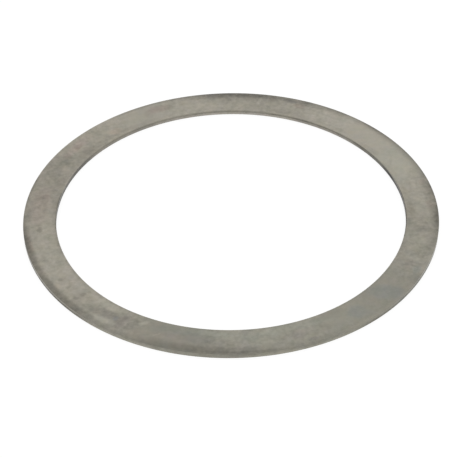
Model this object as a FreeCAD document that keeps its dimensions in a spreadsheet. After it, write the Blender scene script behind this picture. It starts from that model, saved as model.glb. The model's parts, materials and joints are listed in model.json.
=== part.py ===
import FreeCAD, Part
import math
import os
import Sketcher

# A thin adjusting washer for a gearbox shaft, blanked from steel sheet in one stroke.
# It lies flat on its burr side, with its centre line on Z and its bottom face at Z = 0.
# Rim and bore both keep the edge that the press leaves. From the top face down it is
# a rolled-over shoulder, an upright burnished band, and a torn band that leans back.

# Every driving dimension is a length in millimetres, apart from the one share.
dimensions = (
    ("bore_diameter", 80.0, "across the burnished band of the bore"),
    ("ring_width", 7.5, "from the bore's burnished band out to the rim's"),
    ("thickness", 1.2, "gauge of the sheet"),
    ("rim_roll_width", 1.7, "from the rim in to where the top face is flat"),
    ("rim_roll_depth", 0.16, "from the top face down to the rim's burnished band"),
    ("rim_nose_radius", 0.07, "tight curve at the end of the rim's shoulder"),
    ("bore_roll_width", 0.25, "from the bore out to where the top face is flat"),
    ("bore_roll_depth", 0.06, "from the top face down to the bore's burnished band"),
    ("bore_nose_radius", 0.04, "tight curve at the end of the bore's shoulder"),
    ("torn_share", 0.5, "part of the thickness that tears instead of shearing"),
    ("torn_lean", 0.02, "how far the torn band has leant back at the bottom"),
    ("burr_radius", 0.05, "tumbled corner round the bottom face"),
)

full_turn = 360.0
tolerance = 1e-4

doc = FreeCAD.newDocument("gearbox_washer")

# The sheet of driving dimensions: name, value and meaning on one row each.
sizes = doc.addObject("Spreadsheet::Sheet", "Sizes")
for row, (alias, value, meaning) in enumerate(dimensions, start=1):
    sizes.set(f"A{row}", alias)
    sizes.set(f"B{row}", str(value))
    sizes.set(f"C{row}", meaning)
    sizes.setAlias(f"B{row}", alias)
doc.recompute()


def origin_plane(body, role):
    return next(f for f in body.Origin.OriginFeatures if f.Role == role)


def line(start, end):
    return Part.LineSegment(FreeCAD.Vector(*start, 0), FreeCAD.Vector(*end, 0))


def arc(centre, radius, angles):
    circle = Part.Circle(FreeCAD.Vector(*centre, 0), FreeCAD.Vector(0, 0, 1), radius)
    return Part.ArcOfCircle(circle, *sorted(angles))


def shoulder_arcs(edge, width, depth, nose, top, outward):
    # A long roll leaves the top face tangentially, and a tight nose brings it to the upright
    # wall. Outward is 1 at the rim and -1 at the bore, whose shoulder is its mirror image.
    reach = width - nose
    roll = (reach ** 2 + depth ** 2 - nose ** 2) / (2 * (depth - nose))
    turn = math.asin(reach / (roll - nose))
    upright = math.pi / 2
    level = upright - outward * upright
    meeting = upright - outward * turn
    nose_arc = arc((edge - outward * nose, top - depth), nose, (level, meeting))
    roll_arc = arc((edge - outward * width, top - roll), roll, (meeting, upright))
    return nose_arc, roll_arc


def add_section(body):
    # Half section of the ring: X is the radius and Y the height above the bottom face.
    sketch = body.newObject("Sketcher::SketchObject", "ring_section")
    sketch.AttachmentSupport = [(origin_plane(body, "XZ_Plane"), "")]
    sketch.MapMode = "FlatFace"

    bore = sizes.bore_diameter / 2
    rim = bore + sizes.ring_width
    top = sizes.thickness
    torn = top * sizes.torn_share
    lean = sizes.torn_lean
    rim_w, rim_d, rim_n = sizes.rim_roll_width, sizes.rim_roll_depth, sizes.rim_nose_radius
    bore_w, bore_d, bore_n = sizes.bore_roll_width, sizes.bore_roll_depth, sizes.bore_nose_radius
    rim_nose_arc, rim_roll_arc = shoulder_arcs(rim, rim_w, rim_d, rim_n, top, 1)
    bore_nose_arc, bore_roll_arc = shoulder_arcs(bore, bore_w, bore_d, bore_n, top, -1)

    # The loop runs out along the bottom face, up the rim, in along the top and down the bore.
    bottom, rim_torn, rim_band, rim_nose, rim_roll = range(5)
    face, bore_roll, bore_nose, bore_band, bore_torn = range(5, 10)
    sketch.addGeometry([
        line((bore + lean, 0), (rim - lean, 0)),
        line((rim - lean, 0), (rim, torn)),
        line((rim, torn), (rim, top - rim_d)),
        rim_nose_arc,
        rim_roll_arc,
        line((rim - rim_w, top), (bore + bore_w, top)),
        bore_roll_arc,
        bore_nose_arc,
        line((bore, top - bore_d), (bore, torn)),
        line((bore, torn), (bore + lean, 0)),
    ], False)

    # A point of the sketch is given by its edge and 1 for the start or 2 for the end.
    origin = (-1, 1)
    x_axis = -1
    constraint = Sketcher.Constraint
    sketch.addConstraint([
        constraint("Coincident", bottom, 2, rim_torn, 1),
        constraint("Coincident", rim_torn, 2, rim_band, 1),
        constraint("Tangent", rim_band, 2, rim_nose, 1),
        constraint("Tangent", rim_nose, 2, rim_roll, 1),
        constraint("Tangent", rim_roll, 2, face, 1),
        constraint("Tangent", face, 2, bore_roll, 1),
        constraint("Tangent", bore_roll, 2, bore_nose, 1),
        constraint("Tangent", bore_nose, 2, bore_band, 1),
        constraint("Coincident", bore_band, 2, bore_torn, 1),
        constraint("Coincident", bore_torn, 2, bottom, 1),
        constraint("PointOnObject", bottom, 1, x_axis),
        constraint("Horizontal", bottom),
        constraint("Horizontal", face),
        constraint("Vertical", rim_band),
        constraint("Vertical", bore_band),
    ])

    def bind(name, formula, *measure):
        index = sketch.addConstraint(constraint(*measure))
        sketch.renameConstraint(index, name)
        sketch.setExpression(f"Constraints.{name}", formula)

    torn_height = "Sizes.thickness * Sizes.torn_share"
    bind("bore_radius", "Sizes.bore_diameter / 2", "DistanceX", *origin, bore_band, 2, bore)
    bind("ring_width", "Sizes.ring_width", "DistanceX", bore_band, 2, rim_band, 1, sizes.ring_width)
    bind("thickness", "Sizes.thickness", "DistanceY", *origin, face, 1, top)
    bind("rim_torn_height", torn_height, "DistanceY", *origin, rim_torn, 2, torn)
    bind("bore_torn_height", torn_height, "DistanceY", *origin, bore_torn, 1, torn)
    bind("rim_lean", "Sizes.torn_lean", "DistanceX", rim_torn, 1, rim_torn, 2, lean)
    bind("bore_lean", "Sizes.torn_lean", "DistanceX", bore_torn, 1, bore_torn, 2, lean)
    bind("rim_width", "Sizes.rim_roll_width", "DistanceX", rim_roll, 2, rim_nose, 1, rim_w)
    bind("rim_depth", "Sizes.rim_roll_depth", "DistanceY", rim_nose, 1, rim_roll, 2, rim_d)
    bind("rim_nose", "Sizes.rim_nose_radius", "Radius", rim_nose, rim_n)
    bind("bore_width", "Sizes.bore_roll_width", "DistanceX", bore_nose, 2, bore_roll, 1, bore_w)
    bind("bore_depth", "Sizes.bore_roll_depth", "DistanceY", bore_nose, 2, bore_roll, 1, bore_d)
    bind("bore_nose", "Sizes.bore_nose_radius", "Radius", bore_nose, bore_n)
    return sketch


def bottom_corners(feature):
    # Names of the two circles that bound the bottom face.
    return [
        f"Edge{number}"
        for number, edge in enumerate(feature.Shape.Edges, start=1)
        if isinstance(edge.Curve, Part.Circle) and abs(edge.Curve.Center.z) < tolerance
    ]


def make_washer():
    body = doc.addObject("PartDesign::Body", "washer_body")
    body.Label = "shim_washer"
    section = add_section(body)
    ring = body.newObject("PartDesign::Revolution", "ring")
    ring.Profile = section
    ring.ReferenceAxis = (section, ["V_Axis"])
    ring.Angle = full_turn
    section.Visibility = False
    doc.recompute()

    tumbled = body.newObject("PartDesign::Fillet", "tumbled_corners")
    tumbled.Base = (ring, bottom_corners(ring))
    tumbled.setExpression("Radius", "min(Sizes.burr_radius; Sizes.thickness * Sizes.torn_share / 2)")
    body.Tip = tumbled
    return body


parts = [make_washer()]
doc.recompute()

for item in doc.Objects:
    if {"Invalid", "Error"} & set(item.State):
        raise RuntimeError(f"{item.Name} did not rebuild: {item.State}")
for piece in parts:
    if piece.Shape.isNull() or not piece.Shape.isValid() or len(piece.Shape.Solids) != 1:
        raise RuntimeError(f"{piece.Label} is not one sound solid")

os.makedirs("parts", exist_ok=True)
for piece in parts:
    piece.Shape.exportStep(f"parts/{piece.Label}.step")
    print(piece.Label, f"{piece.Shape.Volume:.2f} mm3")
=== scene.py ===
import json
import math

import bpy
from mathutils import Matrix, Vector


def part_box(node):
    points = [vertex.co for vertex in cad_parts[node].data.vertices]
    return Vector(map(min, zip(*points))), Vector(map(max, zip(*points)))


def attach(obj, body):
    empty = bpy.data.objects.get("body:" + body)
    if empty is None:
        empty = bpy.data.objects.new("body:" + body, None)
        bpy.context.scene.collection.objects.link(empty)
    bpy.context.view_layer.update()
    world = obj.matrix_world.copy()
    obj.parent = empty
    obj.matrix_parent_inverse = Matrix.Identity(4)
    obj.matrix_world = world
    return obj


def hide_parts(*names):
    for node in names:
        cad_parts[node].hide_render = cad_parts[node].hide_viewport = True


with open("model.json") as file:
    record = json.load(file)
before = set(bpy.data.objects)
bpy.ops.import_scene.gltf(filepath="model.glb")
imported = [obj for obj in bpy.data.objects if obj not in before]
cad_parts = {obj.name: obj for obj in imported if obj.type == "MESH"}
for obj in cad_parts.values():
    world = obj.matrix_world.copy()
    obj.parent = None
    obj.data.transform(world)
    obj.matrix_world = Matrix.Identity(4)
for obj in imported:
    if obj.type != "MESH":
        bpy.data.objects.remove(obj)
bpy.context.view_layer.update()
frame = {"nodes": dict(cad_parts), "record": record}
scene = bpy.context.scene
print("frame loaded:", ", ".join(frame["nodes"]))


# Small helpers for every node tree

def feed(tree, socket, value):
    # A socket is linked to another one, or set to a plain value
    if isinstance(value, bpy.types.NodeSocket):
        tree.links.new(value, socket)
    else:
        socket.default_value = value


def put(tree, kind, inputs=None, **settings):
    node = tree.nodes.new(kind)
    for name, value in settings.items():
        setattr(node, name, value)
    for key, value in (inputs or {}).items():
        feed(tree, node.inputs[key], value)
    return node


def calc(tree, operation, *values, clamp=False):
    node = put(tree, "ShaderNodeMath", operation=operation, use_clamp=clamp)
    for socket, value in zip(node.inputs, values):
        feed(tree, socket, value)
    return node.outputs[0]


def ramp(tree, value, low, high, start=0.0, end=1.0):
    # Smooth step from start to end while the value goes from low to high
    node = put(tree, "ShaderNodeMapRange", interpolation_type="SMOOTHSTEP")
    for socket, given in zip(node.inputs, (value, low, high, start, end)):
        feed(tree, socket, given)
    return node.outputs[0]


def fade(tree, value, full, gone, amount=1.0):
    # The whole amount while the value is under full, and nothing once it is past gone
    return ramp(tree, value, full, gone, amount, 0.0)


def blend(tree, share, first, second):
    return put(tree, "ShaderNodeMix", {0: share, 2: first, 3: second}).outputs[0]


def vector(tree, operation, *values):
    node = put(tree, "ShaderNodeVectorMath", operation=operation)
    for socket, value in zip(node.inputs, values):
        feed(tree, socket, value)
    return node.outputs["Value" if operation in ("LENGTH", "DOT_PRODUCT") else "Vector"]


# The washer's sizes in metres. Radii and thickness come from the frame, and the section of its
# blanked edges is the one that the part's source draws

mmInMetre = 1000
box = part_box("shim_washer")
fits = {mount["name"]: mount["dims"] for mount in frame["record"]["mounts"]}

washer = {
    "rimRadius": fits["rim"]["r_mm"] / mmInMetre,
    "boreRadius": fits["bore"]["r_mm"] / mmInMetre,
    "thickness": box[1][2] - box[0][2],
    "rimRollWidth": 0.0017,      # from the rim in to where the top face is flat
    "rimRollDepth": 0.00016,     # from the top face down to the burnished band
    "rimNoseRadius": 0.00007,    # tight curve at the end of the roll
    "boreRollWidth": 0.00025,
    "boreRollDepth": 0.00006,
    "boreNoseRadius": 0.00004,
    "tornShare": 0.5,            # part of the thickness that tears instead of shearing
    "tornLean": 0.00002,         # how far the torn band has leant back at the bottom
    "burrRadius": 0.00005,       # tumbled corner round the bottom face
    "stepsRound": 960,           # steps all round the ring, then along each arc of its section
    "noseSteps": 6,
    "rollSteps": 10,
    "burrSteps": 5,
    "shallowShare": 0.25,        # how much shallower the rolls get on two opposite stretches
    "deepAngle": 45.0,           # degrees from +X: where they are deepest, and again half a turn on
    "waver": 0.000008,           # how far a noise lifts them, then its size, octaves and seed
    "waverSize": 0.00625,
    "waverDetail": 2.0,
    "waverSeed": 7,
}


def tornHeight(size):
    return size["thickness"] * size["tornShare"]


def arcPoints(centre, radius, first, last, steps):
    turns = [first + (last - first) * i / steps for i in range(steps + 1)]
    return [(centre[0] + radius * math.cos(a), centre[1] + radius * math.sin(a)) for a in turns]


def linePoints(start, end, shares):
    return [(start[0] + (end[0] - start[0]) * s, start[1] + (end[1] - start[1]) * s) for s in shares]


def shoulder(size, side):
    # From the upright band up to the top face: a tight nose, then a long roll that ends level.
    # Outward is 1 at the rim and -1 at the bore, whose shoulder is its mirror image
    outward = 1 if side == "rim" else -1
    edge, top = size[side + "Radius"], size["thickness"]
    width, depth, nose = (size[side + part] for part in ("RollWidth", "RollDepth", "NoseRadius"))
    reach = width - nose
    roll = (reach ** 2 + depth ** 2 - nose ** 2) / (2 * (depth - nose))
    turn = math.asin(reach / (roll - nose))
    up = math.pi / 2
    level = up - outward * up
    meet = up - outward * turn
    noseArc = arcPoints((edge - outward * nose, top - depth), nose, level, meet, size["noseSteps"])
    rollArc = arcPoints((edge - outward * width, top - roll), roll, meet, up, size["rollSteps"])
    return noseArc + rollArc[1:]


def sectionLoop(size):
    # Up the rim, in along the top face, down the bore and out along the bottom, as radius and height
    rim, bore, torn = size["rimRadius"], size["boreRadius"], tornHeight(size)
    lean, burr, steps = size["tornLean"], size["burrRadius"], size["burrSteps"]
    tilt = math.atan(lean / torn)
    quarter = math.pi / 2
    setBack = lean + burr * math.tan((quarter - tilt) / 2)
    rimCorner = arcPoints((rim - setBack, burr), burr, -quarter, -tilt, steps)
    boreCorner = arcPoints((bore + setBack, burr), burr, math.pi + tilt, math.pi + quarter, steps)
    rimShoulder = shoulder(size, "rim")
    boreShoulder = shoulder(size, "bore")[::-1]
    # Points on the straight stretches, as shares of their length. The outer ones keep the smooth
    # shading of a corner close to it
    onWall = (0.1, 0.5, 0.9)
    onTop = (0.01, 0.15, 0.3, 0.5, 0.7, 0.85, 0.99)
    onBottom = (0.02, 0.25, 0.5, 0.75, 0.98)
    return (
        rimCorner
        + linePoints(rimCorner[-1], (rim, torn), onWall)
        + linePoints((rim, torn), rimShoulder[0], (0.0,) + onWall)
        + rimShoulder
        + linePoints(rimShoulder[-1], boreShoulder[0], onTop)
        + boreShoulder
        + linePoints(boreShoulder[-1], (bore, torn), onWall + (1.0,))
        + linePoints((bore, torn), boreCorner[0], onWall)
        + boreCorner
        + linePoints(boreCorner[-1], rimCorner[0], onBottom)
    )


def makeSection(size):
    # The sweep takes the section's X outwards and its Y downwards from the rim's circle,
    # so the loop runs backwards here to turn the faces outwards
    curve = bpy.data.curves.new("washerSection", "CURVE")
    curve.dimensions = "3D"
    loop = sectionLoop(size)[::-1]
    spline = curve.splines.new("POLY")
    spline.points.add(len(loop) - 1)
    for point, (radius, height) in zip(spline.points, loop):
        point.co = (radius - size["rimRadius"], -height, 0, 1)
    spline.use_cyclic_u = True
    piece = bpy.data.objects.new("steelWasher", curve)
    scene.collection.objects.link(piece)
    return piece


def sweepTree():
    tree = bpy.data.node_groups.new("sweepBlankedRing", "GeometryNodeTree")
    lengths = ("Rim Radius", "Thickness", "Torn Height", "Band Top", "Waver")
    numbers = ("Shallow Share", "Deep Angle", "Waver Scale", "Waver Detail")
    sockets = [("Section", "NodeSocketGeometry"), ("Finish", "NodeSocketMaterial")]
    sockets += [(name, "NodeSocketFloat") for name in lengths + numbers]
    sockets += [(name, "NodeSocketInt") for name in ("Steps Round", "Waver Seed")]
    for name, kind in sockets:
        tree.interface.new_socket(name=name, in_out="INPUT", socket_type=kind)
    tree.interface.new_socket(name="Washer", in_out="OUTPUT", socket_type="NodeSocketGeometry")
    given = put(tree, "NodeGroupInput").outputs

    circle = put(tree, "GeometryNodeCurvePrimitiveCircle",
                 {"Resolution": given["Steps Round"], "Radius": given["Rim Radius"]})
    swept = put(tree, "GeometryNodeCurveToMesh",
                {"Curve": circle.outputs["Curve"], "Profile Curve": given["Section"]})

    # The rolled shoulders are a share shallower on two opposite stretches, and waver a little all round
    place = put(tree, "GeometryNodeInputPosition").outputs[0]
    axes = put(tree, "ShaderNodeSeparateXYZ", {0: place}).outputs
    angle = calc(tree, "ARCTAN2", axes[1], axes[0])
    twice = calc(tree, "MULTIPLY", calc(tree, "SUBTRACT", angle, given["Deep Angle"]), 2.0)
    shallow = calc(tree, "MULTIPLY_ADD", calc(tree, "COSINE", twice), -0.5, 0.5)    # 0 where deepest
    onRoll = ramp(tree, axes[2], given["Torn Height"], given["Band Top"])
    drop = calc(tree, "SUBTRACT", given["Thickness"], axes[2])
    lift = calc(tree, "MULTIPLY", drop, calc(tree, "MULTIPLY", shallow, given["Shallow Share"]))
    uneven = put(tree, "ShaderNodeTexNoise",
                 {"Vector": place, "W": given["Waver Seed"],
                  "Scale": given["Waver Scale"], "Detail": given["Waver Detail"]},
                 noise_dimensions="4D")
    deepest = calc(tree, "SUBTRACT", given["Thickness"], given["Band Top"])
    share = calc(tree, "DIVIDE", drop, deepest, clamp=True)
    waver = calc(tree, "MULTIPLY", calc(tree, "MULTIPLY", uneven.outputs[0], given["Waver"]), share)
    rise = calc(tree, "MULTIPLY", calc(tree, "ADD", lift, waver), onRoll)
    offset = put(tree, "ShaderNodeCombineXYZ", {"Z": rise}).outputs[0]
    shaped = put(tree, "GeometryNodeSetPosition", {"Geometry": swept.outputs[0], "Offset": offset})

    smooth = put(tree, "GeometryNodeSetShadeSmooth", {"Geometry": shaped.outputs[0]})
    whole = put(tree, "GeometryNodeRealizeInstances", {"Geometry": smooth.outputs[0]})
    dressed = put(tree, "GeometryNodeSetMaterial",
                  {"Geometry": whole.outputs[0], "Material": given["Finish"]})
    put(tree, "NodeGroupOutput", {"Washer": dressed.outputs[0]})
    return tree


def makeWasher(size, finish):
    piece = makeSection(size)
    tree = sweepTree()
    sweep = piece.modifiers.new("sweepBlankedRing", "NODES")
    sweep.node_group = tree
    values = {
        "Rim Radius": size["rimRadius"],
        "Thickness": size["thickness"],
        "Torn Height": tornHeight(size),
        "Band Top": size["thickness"] - size["rimRollDepth"],
        "Shallow Share": size["shallowShare"],
        "Deep Angle": math.radians(size["deepAngle"]),
        "Waver": size["waver"],
        "Waver Scale": 1 / size["waverSize"],
        "Waver Detail": size["waverDetail"],
        "Waver Seed": size["waverSeed"],
        "Steps Round": size["stepsRound"],
        "Finish": finish,
    }
    for item in tree.interface.items_tree:
        if item.in_out == "INPUT" and item.name in values:
            sweep[item.identifier] = values[item.name]

    # The swept ring becomes a plain mesh, and the section's curve goes with its modifier
    shape = bpy.data.meshes.new_from_object(piece.evaluated_get(bpy.context.evaluated_depsgraph_get()))
    bpy.data.objects.remove(piece)
    shape.name = "steelWasher"
    ring = bpy.data.objects.new("steelWasher", shape)
    scene.collection.objects.link(ring)
    return ring


# Bare cold-rolled steel, with the handling stains of a washer that has been oiled and wiped, and painted
# shade and highlights on its rolled edges and walls.
# A noise is the size of its features in metres and how far it swings to either side

steel = {
    "colour": (0.317, 0.298, 0.2503),
    "roughness": 0.4,
    "gloss": (0.004, 0.06),              # uneven roughness of the faces
    "clouds": (0.006, 0.10),             # uneven tone: soft clouds, patches and fine grain
    "patches": (0.0022, 0.16),
    "grain": (0.0009, 0.24),
    "redDrift": 0.05,                    # how far red and blue swing with the patches
    "blueDrift": 0.065,
    "calm": 0.6,                         # share of the uneven tone that the calm stretches lose
    "stainEdge": (0.003, 0.001),         # pushes the outlines of the stains, in metres
    "stainCore": 0.3,                    # share of a stain's half sizes up to which it is in full
    "bandTone": 0.82,                    # burnished band of rim and bore
    "bandRoughness": 0.32,
    "dragLines": (0.00018, 0.10),        # drawn down the burnished band by punch and die
    "dragLength": 0.0045,                # size of that noise down the band
    "tornTone": 1.11,                    # torn band below it
    "tornRoughness": 0.55,
    "tornBlue": 0.05,                    # what the torn band of the bore adds to blue
    "tornEdge": (0.0006, 0.00025),       # ragged line between the two bands, in metres
    "tornFade": 0.0001,                  # half the height over which they blend
    "wallPatches": (0.0016, 0.28),
    "wallDepth": (0.00004, 0.00012),     # in from rim or bore: the wall's finish in full, and gone
    "wallTop": (0.0002, 0.00008),        # down from the top face: the same
    "boreSide": (0.0001, 0.001),         # out from the bore: wholly the bore's side, and not at all
    "reliefSizes": (0.0005, 0.00012),    # all over, and on the torn band only
    "reliefHeight": 0.000004,
    "broadDetail": 3.0,                  # octaves of the broad noises, and of the fine ones
    "fineDetail": 2.0,
}

# Stretches of the ring: angle from +X, half width of the core and half width in all, in degrees,
# and what the stretch adds in tone, red and blue to a level of 1
stretches = (
    (25, 5, 13, 0.0, -0.02, 0.0),
    (30, 16, 36, 0.09, 0.0, 0.0),
    (78, 6, 24, -0.07, 0.0, 0.0),
    (131, 4, 14, 0.06, 0.0, 0.0),
    (150, 12, 30, -0.08, 0.005, -0.005),
    (166, 6, 18, -0.06, 0.0, 0.0),
    (206, 8, 24, 0.08, 0.0, 0.0),
    (250, 8, 22, -0.10, 0.0, 0.0),
    (290, 40, 70, 0.0, -0.025, 0.0),
    (310, 12, 30, -0.06, 0.0, 0.0),
    (328, 8, 22, -0.06, 0.01, 0.0),
    (352, 3, 14, -0.06, 0.0, 0.0),
)

# Stretches where the sheet is less uneven, by the same three angles
calmStretches = ((34, 10, 20), (119, 2, 9), (252, 5, 12), (312, 10, 20))

# Painted shade on stretches of the rolled edges: the three angles, the tone that they take away, and in
# millimetres from rim or bore where it starts to fade and where it is gone. A minus sign paints a highlight
# instead
paintedRimEdgeShading = (
    (2, 5, 12, 0.24, 0.3, 2.0),
    (14, 10, 18, 0.18, 0.05, 0.7),
    (28, 14, 24, 0.26, 0.5, 2.0),
    (36, 7, 13, 0.13, 0.2, 0.9),
    (46, 7, 14, 0.10, 0.5, 1.6),
    (51, 6, 12, 0.16, 0.2, 0.9),
    (59, 5, 11, 0.20, 0.5, 2.6),
    (65, 3, 7, 0.06, 0.8, 4.0),
    (69.5, 3, 6.5, 0.20, 0.3, 2.8),
    (80, 4, 9, -0.08, 0.2, 0.7),
    (87, 6, 14, 0.24, 1.2, 4.2),
    (88, 9, 22, 0.26, 0.7, 2.6),
    (90, 6, 12, 0.07, 0.4, 1.1),
    (114, 8, 18, 0.24, 0.4, 1.3),
    (176, 10, 16, 0.16, 0.0, 0.8),
    (191, 5, 12, 0.14, 0.6, 1.1),
    (207, 15, 24, 0.36, 0.9, 2.0),
    (252, 4, 9, 0.15, 1.2, 3.2),
    (267, 9, 16, -0.13, 0.15, 0.6),
    (268, 8, 15, 0.22, 1.5, 2.6),
    (275, 6, 14, 0.12, 0.5, 1.1),
    (314, 10, 16, -0.11, 0.1, 1.2),
    (341, 5, 10, -0.15, 0.1, 1.8),
    (350, 5, 11, 0.14, 0.4, 1.6),
    (350, 8, 16, 0.05, 1.2, 2.6),
)
paintedBoreEdgeShading = (
    (0, 8, 16, 0.66, 0.02, 0.2),
    (8, 12, 22, 0.10, 0.05, 0.35),
    (42, 6, 14, -0.07, 0.1, 0.4),
    (64, 6, 14, -0.10, 0.1, 0.5),
    (94, 16, 28, -0.08, 0.1, 0.4),
    (160, 5, 12, -0.10, 0.1, 0.4),
    (180, 7, 13, 0.36, 0.03, 0.3),
    (185, 11, 19, 0.12, 0.2, 1.2),
    (203, 8, 14, 0.08, 0.2, 0.9),
    (270, 60, 110, 0.08, 0.1, 0.6),
)

# Painted shade on stretches of the walls: the three angles, and the tone that they take away from the
# burnished band and from the torn one. A minus sign paints light instead
paintedBoreWallShading = (
    (6, 12, 22, 0.58, 0.55),
    (10, 3, 7, 0.22, 0.20),
    (29, 5, 16, 0.46, 0.42),
    (52, 8, 17, 0.26, 0.10),
    (68, 6, 7.5, 0.14, -0.04),
    (84, 10, 20, 0.10, -0.10),
    (110, 12, 26, 0.10, 0.03),
    (128, 6, 16, 0.12, 0.14),
    (164, 8, 27, 0.56, 0.54),
)
paintedRimWallShading = (
    (206, 14, 26, 0.05, 0.50),
    (262, 8, 16, 0.0, 0.12),
    (326, 14, 26, 0.02, 0.36),
)

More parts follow.
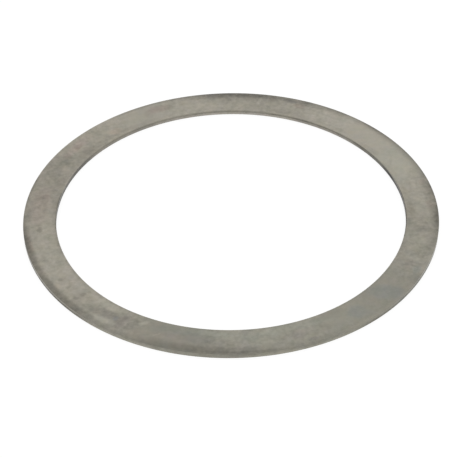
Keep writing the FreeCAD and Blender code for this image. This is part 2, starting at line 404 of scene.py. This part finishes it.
# Stains: angle in degrees, radius and half sizes along and across the ring in millimetres, slant in
# degrees, and what each adds in tone, red and blue
stains = (
    (0.0, 43.9, 4.0, 2.4, 0, 0.06, 0.0, 0.0),
    (2.2, 45.8, 2.2, 1.2, 0, -0.09, 0.02, 0.0),
    (6.0, 40.9, 7.0, 0.9, 0, -0.08, 0.0, -0.02),
    (7.0, 45.7, 6.0, 0.9, 0, -0.14, 0.0, 0.0),
    (12.6, 44.5, 0.7, 0.5, 0, -0.12, 0.0, 0.0),
    (12.8, 45.9, 1.3, 1.0, 0, -0.12, 0.03, 0.0),
    (17.0, 45.2, 3.6, 2.2, 0, -0.10, 0.0, 0.0),
    (20.0, 43.4, 5.0, 2.2, 0, 0.05, 0.0, 0.0),
    (26.0, 42.5, 2.6, 0.4, 30, -0.07, 0.0, 0.0),
    (28.0, 43.2, 4.0, 3.0, 0, 0.06, 0.0, 0.0),
    (36.0, 40.6, 4.5, 0.9, 0, -0.10, 0.0, 0.0),
    (47.5, 46.3, 1.8, 0.9, 0, -0.11, 0.0, 0.0),
    (51.5, 40.7, 4.0, 0.9, 0, -0.09, 0.0, 0.0),
    (52.0, 43.4, 6.0, 2.6, 0, 0.0, 0.0, 0.015),
    (54.5, 42.8, 2.2, 1.2, 0, -0.06, 0.0, 0.0),
    (60.0, 43.8, 4.0, 3.0, 0, 0.06, 0.0, 0.0),
    (64.2, 46.4, 1.3, 0.9, 0, 0.12, 0.0, 0.0),
    (67.0, 44.8, 2.2, 1.3, 0, -0.08, 0.05, 0.0),
    (70.4, 46.2, 2.6, 1.0, 0, -0.16, -0.01, 0.03),
    (71.0, 41.2, 3.4, 1.1, 0, -0.10, 0.0, 0.0),
    (76.5, 45.9, 1.4, 0.9, 0, -0.08, 0.02, 0.0),
    (78.6, 46.0, 1.6, 1.3, 0, 0.10, 0.0, 0.0),
    (78.8, 43.0, 0.9, 1.0, 0, -0.08, 0.0, 0.0),
    (79.2, 41.5, 1.4, 1.0, 0, -0.09, 0.0, 0.0),
    (80.2, 44.6, 0.5, 2.0, 0, 0.12, 0.0, 0.0),
    (81.8, 42.7, 1.5, 1.3, 0, -0.10, 0.0, 0.0),
    (86.5, 45.9, 1.4, 0.9, 0, -0.09, 0.0, 0.0),
    (90.0, 41.5, 3.0, 1.2, 0, 0.07, 0.0, 0.0),
    (91.0, 44.6, 1.4, 1.2, 0, -0.09, 0.0, 0.0),
    (101.0, 45.9, 2.2, 0.8, 0, -0.09, 0.0, 0.0),
    (105.5, 44.6, 1.4, 0.7, 0, -0.08, 0.0, 0.0),
    (112.0, 44.8, 4.2, 1.8, 0, -0.13, 0.0, 0.0),
    (113.0, 44.3, 3.6, 1.8, 0, -0.05, 0.06, 0.02),
    (116.8, 43.6, 2.0, 2.0, 0, -0.10, 0.0, 0.0),
    (125.0, 40.9, 8.0, 1.0, 0, -0.09, 0.0, 0.0),
    (131.0, 42.4, 2.0, 1.6, 0, 0.0, 0.05, -0.02),
    (138.5, 41.2, 6.0, 1.2, 0, -0.12, -0.01, 0.0),
    (144.5, 45.0, 6.0, 1.7, 0, 0.0, 0.055, 0.03),
    (144.8, 44.5, 1.5, 1.3, 0, -0.14, 0.03, 0.0),
    (145.5, 41.6, 3.2, 1.5, 0, -0.12, 0.0, 0.0),
    (148.8, 44.5, 0.5, 1.2, 20, 0.10, 0.0, 0.0),
    (150.6, 44.6, 1.6, 1.2, 0, -0.10, 0.03, 0.0),
    (153.6, 43.9, 1.9, 1.5, 0, -0.09, -0.02, 0.0),
    (156.3, 42.3, 1.6, 0.9, 30, 0.08, 0.0, 0.0),
    (160.0, 42.1, 1.3, 0.9, 0, 0.09, 0.0, 0.0),
    (166.0, 41.4, 5.0, 1.4, 0, -0.06, 0.0, 0.0),
    (167.2, 42.9, 1.3, 2.1, 0, -0.09, 0.0, 0.0),
    (171.3, 43.6, 1.0, 2.4, 0, -0.08, 0.02, 0.0),
    (174.5, 42.0, 2.6, 0.7, -10, 0.08, 0.0, 0.0),
    (176.5, 44.0, 9.0, 3.2, 0, -0.03, 0.045, 0.012),
    (179.5, 40.7, 2.4, 0.7, 0, -0.07, 0.0, 0.0),
    (180.0, 46.4, 3.0, 0.9, 0, -0.12, 0.0, 0.0),
    (187.2, 43.9, 1.1, 0.9, 0, -0.22, 0.0, 0.0),
    (191.0, 45.4, 3.4, 1.0, 0, -0.07, 0.0, 0.0),
    (193.5, 46.7, 4.0, 0.7, 0, 0.0, 0.05, 0.0),
    (195.0, 41.4, 9.0, 1.4, 0, -0.05, -0.01, -0.02),
    (195.5, 44.5, 1.7, 1.2, 0, -0.14, 0.0, 0.0),
    (200.5, 43.0, 3.0, 1.3, 0, 0.05, 0.0, 0.0),
    (201.5, 45.0, 0.7, 1.6, 0, -0.10, 0.0, 0.0),
    (203.6, 42.2, 0.8, 0.7, 0, -0.10, 0.0, 0.0),
    (207.6, 44.7, 3.4, 2.1, 0, 0.08, 0.0, 0.0),
    (209.2, 46.4, 1.6, 0.8, 0, 0.12, 0.0, 0.0),
    (211.2, 44.1, 0.7, 0.6, 0, -0.13, 0.0, 0.0),
    (212.0, 41.5, 5.0, 1.3, 0, 0.06, 0.0, 0.02),
    (215.6, 44.0, 0.6, 0.8, 0, -0.10, 0.0, 0.0),
    (220.6, 44.7, 1.0, 0.9, 0, -0.18, 0.0, 0.0),
    (220.6, 43.7, 1.5, 2.6, 0, -0.11, 0.0, 0.0),
    (221.0, 42.6, 1.0, 0.9, 0, -0.18, 0.0, 0.0),
    (223.6, 45.4, 2.2, 1.0, 0, -0.10, 0.0, 0.0),
    (224.3, 42.4, 1.8, 1.4, 0, -0.10, 0.0, 0.0),
    (229.0, 41.4, 5.5, 1.3, 0, 0.18, -0.01, 0.0),
    (231.0, 43.8, 4.6, 1.5, -15, -0.12, 0.0, 0.02),
    (232.6, 45.4, 3.6, 1.2, -6, 0.21, 0.0, 0.0),
    (235.0, 40.8, 2.2, 0.9, 0, 0.11, 0.0, 0.0),
    (235.2, 43.6, 0.9, 0.8, 0, -0.06, -0.03, 0.08),
    (237.2, 44.2, 1.6, 2.4, 0, -0.14, 0.02, 0.03),
    (238.5, 42.3, 1.8, 0.9, -20, -0.11, 0.0, 0.0),
    (239.4, 44.9, 0.8, 0.9, 0, 0.08, 0.0, 0.0),
    (240.3, 43.8, 0.8, 3.0, 25, -0.14, 0.0, 0.0),
    (243.2, 42.0, 0.8, 1.5, 38, 0.21, 0.0, 0.0),
    (245.6, 44.4, 2.2, 1.4, 0, 0.05, 0.0, 0.0),
    (246.8, 46.0, 1.8, 1.1, 0, 0.08, 0.0, 0.0),
    (248.5, 44.3, 0.4, 1.6, 35, 0.10, 0.0, 0.0),
    (250.0, 41.4, 4.0, 1.3, 0, -0.06, 0.0, 0.0),
    (250.0, 44.8, 12.0, 2.6, 0, 0.0, 0.028, 0.0),
    (256.0, 43.0, 8.5, 1.9, 0, -0.04, 0.0, 0.02),
    (257.3, 46.3, 2.2, 1.2, 0, 0.10, 0.0, 0.0),
    (260.0, 41.4, 15.0, 1.7, 0, 0.0, -0.022, 0.0),
    (263.5, 41.2, 4.2, 1.2, 0, 0.10, 0.0, 0.0),
    (266.8, 44.5, 5.2, 1.6, 0, -0.10, 0.0, 0.0),
    (273.0, 45.7, 2.6, 1.1, 0, 0.0, 0.01, 0.03),
    (281.5, 41.3, 2.6, 1.3, 0, 0.10, 0.0, 0.0),
    (283.2, 44.6, 1.5, 1.8, 0, -0.08, 0.0, 0.0),
    (288.0, 41.4, 12.0, 1.7, 0, 0.0, -0.025, 0.0),
    (288.5, 43.8, 2.2, 1.8, 0, 0.0, 0.03, 0.02),
    (292.0, 46.0, 1.5, 0.8, 0, -0.05, 0.01, 0.06),
    (296.6, 43.8, 1.4, 1.8, 0, -0.09, 0.0, 0.0),
    (301.0, 41.3, 5.0, 1.2, 0, -0.05, 0.0, 0.0),
    (308.0, 44.2, 3.4, 2.8, 45, -0.05, -0.035, 0.045),
    (319.6, 43.9, 3.2, 5.0, -40, -0.04, -0.05, 0.062),
    (332.8, 46.0, 1.7, 1.0, 0, -0.02, -0.04, 0.04),
    (334.0, 43.8, 2.4, 1.6, 0, 0.03, 0.03, 0.0),
    (336.5, 44.4, 1.2, 2.6, 0, 0.08, 0.0, 0.0),
    (338.6, 42.0, 1.8, 1.3, 0, 0.08, 0.0, 0.0),
    (339.0, 44.8, 1.2, 1.4, 0, -0.07, 0.0, 0.0),
    (342.4, 40.7, 2.4, 0.8, 0, -0.09, 0.0, 0.0),
    (344.2, 43.6, 4.0, 2.8, 0, 0.06, 0.0, -0.02),
    (350.8, 43.8, 1.5, 2.4, 0, -0.08, 0.0, 0.0),
    (352.0, 40.6, 3.0, 0.7, 0, -0.09, 0.0, 0.0),
    (353.6, 44.6, 0.7, 0.7, 0, -0.08, 0.0, 0.0),
    (357.5, 40.9, 6.0, 1.2, 0, -0.11, 0.0, -0.01),
)


def along(tree, heading, degrees, core, reach):
    # 1 within core degrees of a direction round the axis, and 0 past reach
    turn = math.radians(degrees)
    facing = vector(tree, "DOT_PRODUCT", heading, (math.cos(turn), math.sin(turn), 0))
    return ramp(tree, facing, math.cos(math.radians(reach)), math.cos(math.radians(core)))


def blot(tree, place, core, degrees, radius, halfAlong, halfAcross, slant):
    # Soft ellipse that lies along the ring, or slants outwards from there
    turn = math.radians(degrees)
    centre = Vector((radius * math.cos(turn), radius * math.sin(turn), 0))
    outward = turn - math.radians(slant)
    squared = 0.0              # distance from the centre in half sizes, squared
    for direction, half in ((outward, halfAcross), (outward + math.pi / 2, halfAlong)):
        ray = Vector((math.cos(direction), math.sin(direction), 0)) / half
        off = calc(tree, "SUBTRACT", vector(tree, "DOT_PRODUCT", place, ray), ray.dot(centre))
        squared = calc(tree, "MULTIPLY_ADD", off, off, squared)
    return fade(tree, squared, core ** 2, 1.0)


def noise(tree, place, size, detail, stretch=(1, 1, 1)):
    # A value from 0 to 1 and a colour, both with features of about the given size
    scaled = vector(tree, "MULTIPLY", place, stretch)
    return put(tree, "ShaderNodeTexNoise", {"Vector": scaled, "Scale": 1 / size, "Detail": detail}).outputs


def around(tree, value, swing):
    # 0 to 1 becomes minus to plus the swing
    return calc(tree, "MULTIPLY_ADD", value, 2 * swing, -swing)


def drift(tree, place, size, swing, detail):
    return around(tree, noise(tree, place, size, detail)[0], swing)


def sectionMasks(tree, place, look, size):
    # How far in from rim and bore a point lies, and masks from 0 to 1 for the parts of the section
    height = put(tree, "ShaderNodeSeparateXYZ", {0: place}).outputs[2]
    radius = vector(tree, "LENGTH", vector(tree, "MULTIPLY", place, (1, 1, 0)))
    fromRim = calc(tree, "SUBTRACT", size["rimRadius"], radius)
    fromBore = calc(tree, "SUBTRACT", radius, size["boreRadius"])
    full, gone = (size["thickness"] - depth for depth in look["wallTop"])
    wall = calc(tree, "MULTIPLY",
                fade(tree, calc(tree, "MINIMUM", fromRim, fromBore), *look["wallDepth"]),
                fade(tree, height, full, gone))
    boreWall = calc(tree, "MULTIPLY", wall, fade(tree, fromBore, *look["boreSide"]))
    ragged = calc(tree, "ADD", height, drift(tree, place, *look["tornEdge"], look["fineDetail"]))
    full, gone = tornHeight(size) - look["tornFade"], tornHeight(size) + look["tornFade"]
    torn = calc(tree, "MULTIPLY", wall, fade(tree, ragged, full, gone))
    return {
        "fromRim": fromRim,
        "fromBore": fromBore,
        "face": calc(tree, "SUBTRACT", 1.0, wall),
        "wall": wall,
        "boreWall": boreWall,
        "rimWall": calc(tree, "SUBTRACT", wall, boreWall),
        "torn": torn,
        "boreTorn": calc(tree, "MULTIPLY", boreWall, torn),
    }


def unevenSheet(tree, place, heading, look):
    # Uneven tone, less so on the calm stretches, then uneven red and blue
    detail = look["broadDetail"]
    tone = drift(tree, place, *look["clouds"], detail)
    patchSize, patchSwing = look["patches"]
    patches, patchHues = noise(tree, place, patchSize, detail)
    tone = calc(tree, "ADD", tone, around(tree, patches, patchSwing))
    tone = calc(tree, "ADD", tone, drift(tree, place, *look["grain"], detail))
    left = 1.0                 # share of the uneven tone that stays
    for angles in calmStretches:
        left = calc(tree, "MULTIPLY_ADD", along(tree, heading, *angles), -look["calm"], left)
    hues = put(tree, "ShaderNodeSeparateColor", {0: patchHues}).outputs
    return [calc(tree, "MULTIPLY", tone, left),
            around(tree, hues[0], look["redDrift"]),
            around(tree, hues[2], look["blueDrift"])]


def lay(tree, shifts, mask, amounts):
    # What the mask covers is added to tone, red and blue
    return [calc(tree, "MULTIPLY_ADD", mask, amount, shift) if amount else shift
            for shift, amount in zip(shifts, amounts)]


def layStains(tree, shifts, warped, heading, look):
    # Each mask is laid as soon as it is made, because Cycles can hold only so many values at a time
    for degrees, core, reach, *amounts in stretches:
        shifts = lay(tree, shifts, along(tree, heading, degrees, core, reach), amounts)
    for degrees, radius, halfAlong, halfAcross, slant, *amounts in stains:
        lengths = [length / mmInMetre for length in (radius, halfAlong, halfAcross)]
        shifts = lay(tree, shifts, blot(tree, warped, look["stainCore"], degrees, *lengths, slant), amounts)
    return shifts


def paintEdgeShading(tree, tone, heading, masks):
    # Painted shade, or a painted highlight where the amount is negative, on stretches of the rolled edges
    # and walls
    for rows, depth in ((paintedRimEdgeShading, masks["fromRim"]), (paintedBoreEdgeShading, masks["fromBore"])):
        for *angles, amount, full, gone in rows:
            share = fade(tree, depth, full / mmInMetre, gone / mmInMetre, amount)
            share = calc(tree, "MULTIPLY", share, masks["face"])
            share = calc(tree, "MULTIPLY", share, along(tree, heading, *angles))
            tone = calc(tree, "SUBTRACT", tone, share)
    for rows, wall in ((paintedBoreWallShading, masks["boreWall"]), (paintedRimWallShading, masks["rimWall"])):
        for *angles, bandAmount, tornAmount in rows:
            share = calc(tree, "MULTIPLY", wall, along(tree, heading, *angles))
            amount = blend(tree, masks["torn"], bandAmount, tornAmount)
            tone = calc(tree, "SUBTRACT", tone, calc(tree, "MULTIPLY", share, amount))
    return tone


def wallTone(tree, place, look, masks):
    # Drag lines run down the burnished band, the torn band is lighter, and faces stay at 1
    size, swing = look["dragLines"]
    drag = noise(tree, place, size, look["fineDetail"], (1, 1, size / look["dragLength"]))[0]
    tone = calc(tree, "ADD", around(tree, drag, swing), look["bandTone"])
    tone = blend(tree, masks["torn"], tone, look["tornTone"])
    tone = calc(tree, "ADD", tone, drift(tree, place, *look["wallPatches"], look["broadDetail"]))
    return blend(tree, masks["wall"], 1.0, tone)


def glossAndRelief(tree, place, look, masks):
    rough = calc(tree, "ADD", drift(tree, place, *look["gloss"], look["broadDetail"]), look["roughness"])
    wallRough = blend(tree, masks["torn"], look["bandRoughness"], look["tornRoughness"])
    rough = blend(tree, masks["wall"], rough, wallRough)
    everywhere, tornOnly = (noise(tree, place, size, look["fineDetail"])[0] for size in look["reliefSizes"])
    relief = calc(tree, "MULTIPLY_ADD", masks["torn"], tornOnly, everywhere)
    bump = put(tree, "ShaderNodeBump",
               {"Height": relief, "Distance": look["reliefHeight"], "Strength": 1.0})
    return rough, bump.outputs[0]


def makeSteel(look, size):
    material = bpy.data.materials.new("bareSteel")
    material.use_nodes = True
    tree = material.node_tree
    tree.nodes.clear()
    place = put(tree, "ShaderNodeTexCoord").outputs["Object"]
    masks = sectionMasks(tree, place, look, size)

    # A noise pushes the outlines of stretches and stains, by its colour less a middle grey
    pushSize, pushSwing = look["stainEdge"]
    push = noise(tree, place, pushSize, look["broadDetail"])[1]
    push = vector(tree, "SUBTRACT", push, (0.5, 0.5, 0.5))
    warped = vector(tree, "MULTIPLY_ADD", push, (2 * pushSwing,) * 3, place)
    heading = vector(tree, "NORMALIZE", vector(tree, "MULTIPLY", warped, (1, 1, 0)))

    shifts = unevenSheet(tree, place, heading, look)
    shifts = layStains(tree, shifts, warped, heading, look)
    tone = calc(tree, "MULTIPLY_ADD", shifts[0], masks["face"], 1.0)
    red, blue = (calc(tree, "ADD", shift, 1.0) for shift in shifts[1:])
    blue = calc(tree, "MULTIPLY_ADD", masks["boreTorn"], look["tornBlue"], blue)
    # Painted shade and highlights on the rolled edges and walls
    tone = paintEdgeShading(tree, tone, heading, masks)
    tone = calc(tree, "MULTIPLY", tone, wallTone(tree, place, look, masks))

    level = look["colour"]
    channels = [calc(tree, "MULTIPLY", calc(tree, "MULTIPLY", tone, red), level[0]),
                calc(tree, "MULTIPLY", tone, level[1]),
                calc(tree, "MULTIPLY", calc(tree, "MULTIPLY", tone, blue), level[2])]
    colour = put(tree, "ShaderNodeCombineColor", dict(enumerate(channels))).outputs[0]
    rough, normal = glossAndRelief(tree, place, look, masks)
    shader = put(tree, "ShaderNodeBsdfPrincipled",
                 {"Base Color": colour, "Metallic": 1.0, "Roughness": rough, "Normal": normal})
    put(tree, "ShaderNodeOutputMaterial", {"Surface": shader.outputs[0]})
    return material


bareSteel = makeSteel(steel, washer)
print("steel mixed")

washerPiece = makeWasher(washer, bareSteel)
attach(washerPiece, "root")
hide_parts("shim_washer")
washerPiece.data.calc_loop_triangles()
print("washer swept:", len(washerPiece.data.loop_triangles), "triangles")


# White floor that keeps the contact shadow

floorLook = {
    "half": 1.5,                            # half a side, in metres
    "drop": 0.00002,                        # below the bottom face, so that the two share no plane
    "whiteShare": 0.88,                     # camera and metal see this much plain white,
    "shadowColour": (0.19, 0.19, 0.19),     # and this matt colour on top, which takes the shadow
    "colour": (0.8, 0.8, 0.8),              # the floor as scattered light meets it
}


def makeFloor(look):
    shape = bpy.data.meshes.new("floor")
    half = look["half"]
    corners = [(-half, -half), (half, -half), (half, half), (-half, half)]
    shape.from_pydata([(x, y, -look["drop"]) for x, y in corners], [], [(0, 1, 2, 3)])
    piece = bpy.data.objects.new("floor", shape)
    scene.collection.objects.link(piece)
    material = bpy.data.materials.new("whiteFloor")
    material.use_nodes = True
    tree = material.node_tree
    tree.nodes.clear()
    rays = put(tree, "ShaderNodeLightPath").outputs
    seen = calc(tree, "ADD", rays["Is Camera Ray"], rays["Is Glossy Ray"])
    seen = calc(tree, "ADD", seen, rays["Is Transmission Ray"], clamp=True)
    matt = put(tree, "ShaderNodeBsdfDiffuse", {"Color": (*look["colour"], 1)})
    shadow = put(tree, "ShaderNodeBsdfDiffuse", {"Color": (*look["shadowColour"], 1)})
    white = put(tree, "ShaderNodeEmission", {"Color": (1, 1, 1, 1), "Strength": look["whiteShare"]})
    pale = put(tree, "ShaderNodeAddShader", {0: shadow.outputs[0], 1: white.outputs[0]})
    mixed = put(tree, "ShaderNodeMixShader", {0: seen, 1: matt.outputs[0], 2: pale.outputs[0]})
    put(tree, "ShaderNodeOutputMaterial", {"Surface": mixed.outputs[0]})
    shape.materials.append(material)


makeFloor(floorLook)
print("floor laid")


# Plain studio light: a pale room that is darker overhead, and one soft lamp behind

studio = {
    "level": 1.08,                   # of the room at eye height
    "rise": -0.42,                   # what that gains straight overhead
    "behind": 0.06,                  # and straight behind the washer, at +Y
    "lampPlace": (0.0, 0.9, 0.5),
    "lampSide": 0.6,
    "lampWatts": 0.38,
}


def makeWorld(look):
    world = bpy.data.worlds.new("studio")
    world.use_nodes = True
    scene.world = world
    tree = world.node_tree
    tree.nodes.clear()
    aim = put(tree, "ShaderNodeTexCoord").outputs["Generated"]
    axes = put(tree, "ShaderNodeSeparateXYZ", {0: aim}).outputs
    level = calc(tree, "MULTIPLY_ADD", axes[2], look["rise"], look["level"])
    level = calc(tree, "MULTIPLY_ADD", axes[1], look["behind"], level)
    glow = put(tree, "ShaderNodeBackground", {"Color": (1, 1, 1, 1), "Strength": level})
    put(tree, "ShaderNodeOutputWorld", {"Surface": glow.outputs[0]})


def makeLamp(look):
    lamp = bpy.data.lights.new("softLamp", "AREA")
    lamp.shape = "SQUARE"
    lamp.size = look["lampSide"]
    lamp.energy = look["lampWatts"]
    piece = bpy.data.objects.new("softLamp", lamp)
    piece.location = look["lampPlace"]
    piece.rotation_euler = (-Vector(look["lampPlace"])).to_track_quat("-Z", "Y").to_euler()
    scene.collection.objects.link(piece)


makeWorld(studio)
makeLamp(studio)
print("studio lit")


# Camera, fitted to the washer's outlines in the square photo

viewer = {
    "imageSide": 458,                          # pixels of the photo, as is the focal length
    "focalPixels": 1829.19,
    "sensor": 36.0,                            # millimetres
    "place": (0.0, -0.32708, 0.263483),
    "aim": (-0.000484, -0.004677, 0.0),
    "roll": -0.838,                            # degrees
    "clip": (0.01, 20),
}


def makeCamera(look):
    lens = bpy.data.cameras.new("viewer")
    lens.sensor_width = look["sensor"]
    lens.lens = look["focalPixels"] * look["sensor"] / look["imageSide"]
    lens.clip_start, lens.clip_end = look["clip"]
    piece = bpy.data.objects.new("viewer", lens)
    scene.collection.objects.link(piece)
    gaze = Vector(look["aim"]) - Vector(look["place"])
    turn = gaze.to_track_quat("-Z", "Y").to_matrix() @ Matrix.Rotation(math.radians(look["roll"]), 3, "Z")
    piece.location = look["place"]
    piece.rotation_euler = turn.to_euler()
    scene.camera = piece


makeCamera(viewer)
scene.view_settings.view_transform = "Standard"
print("camera placed")
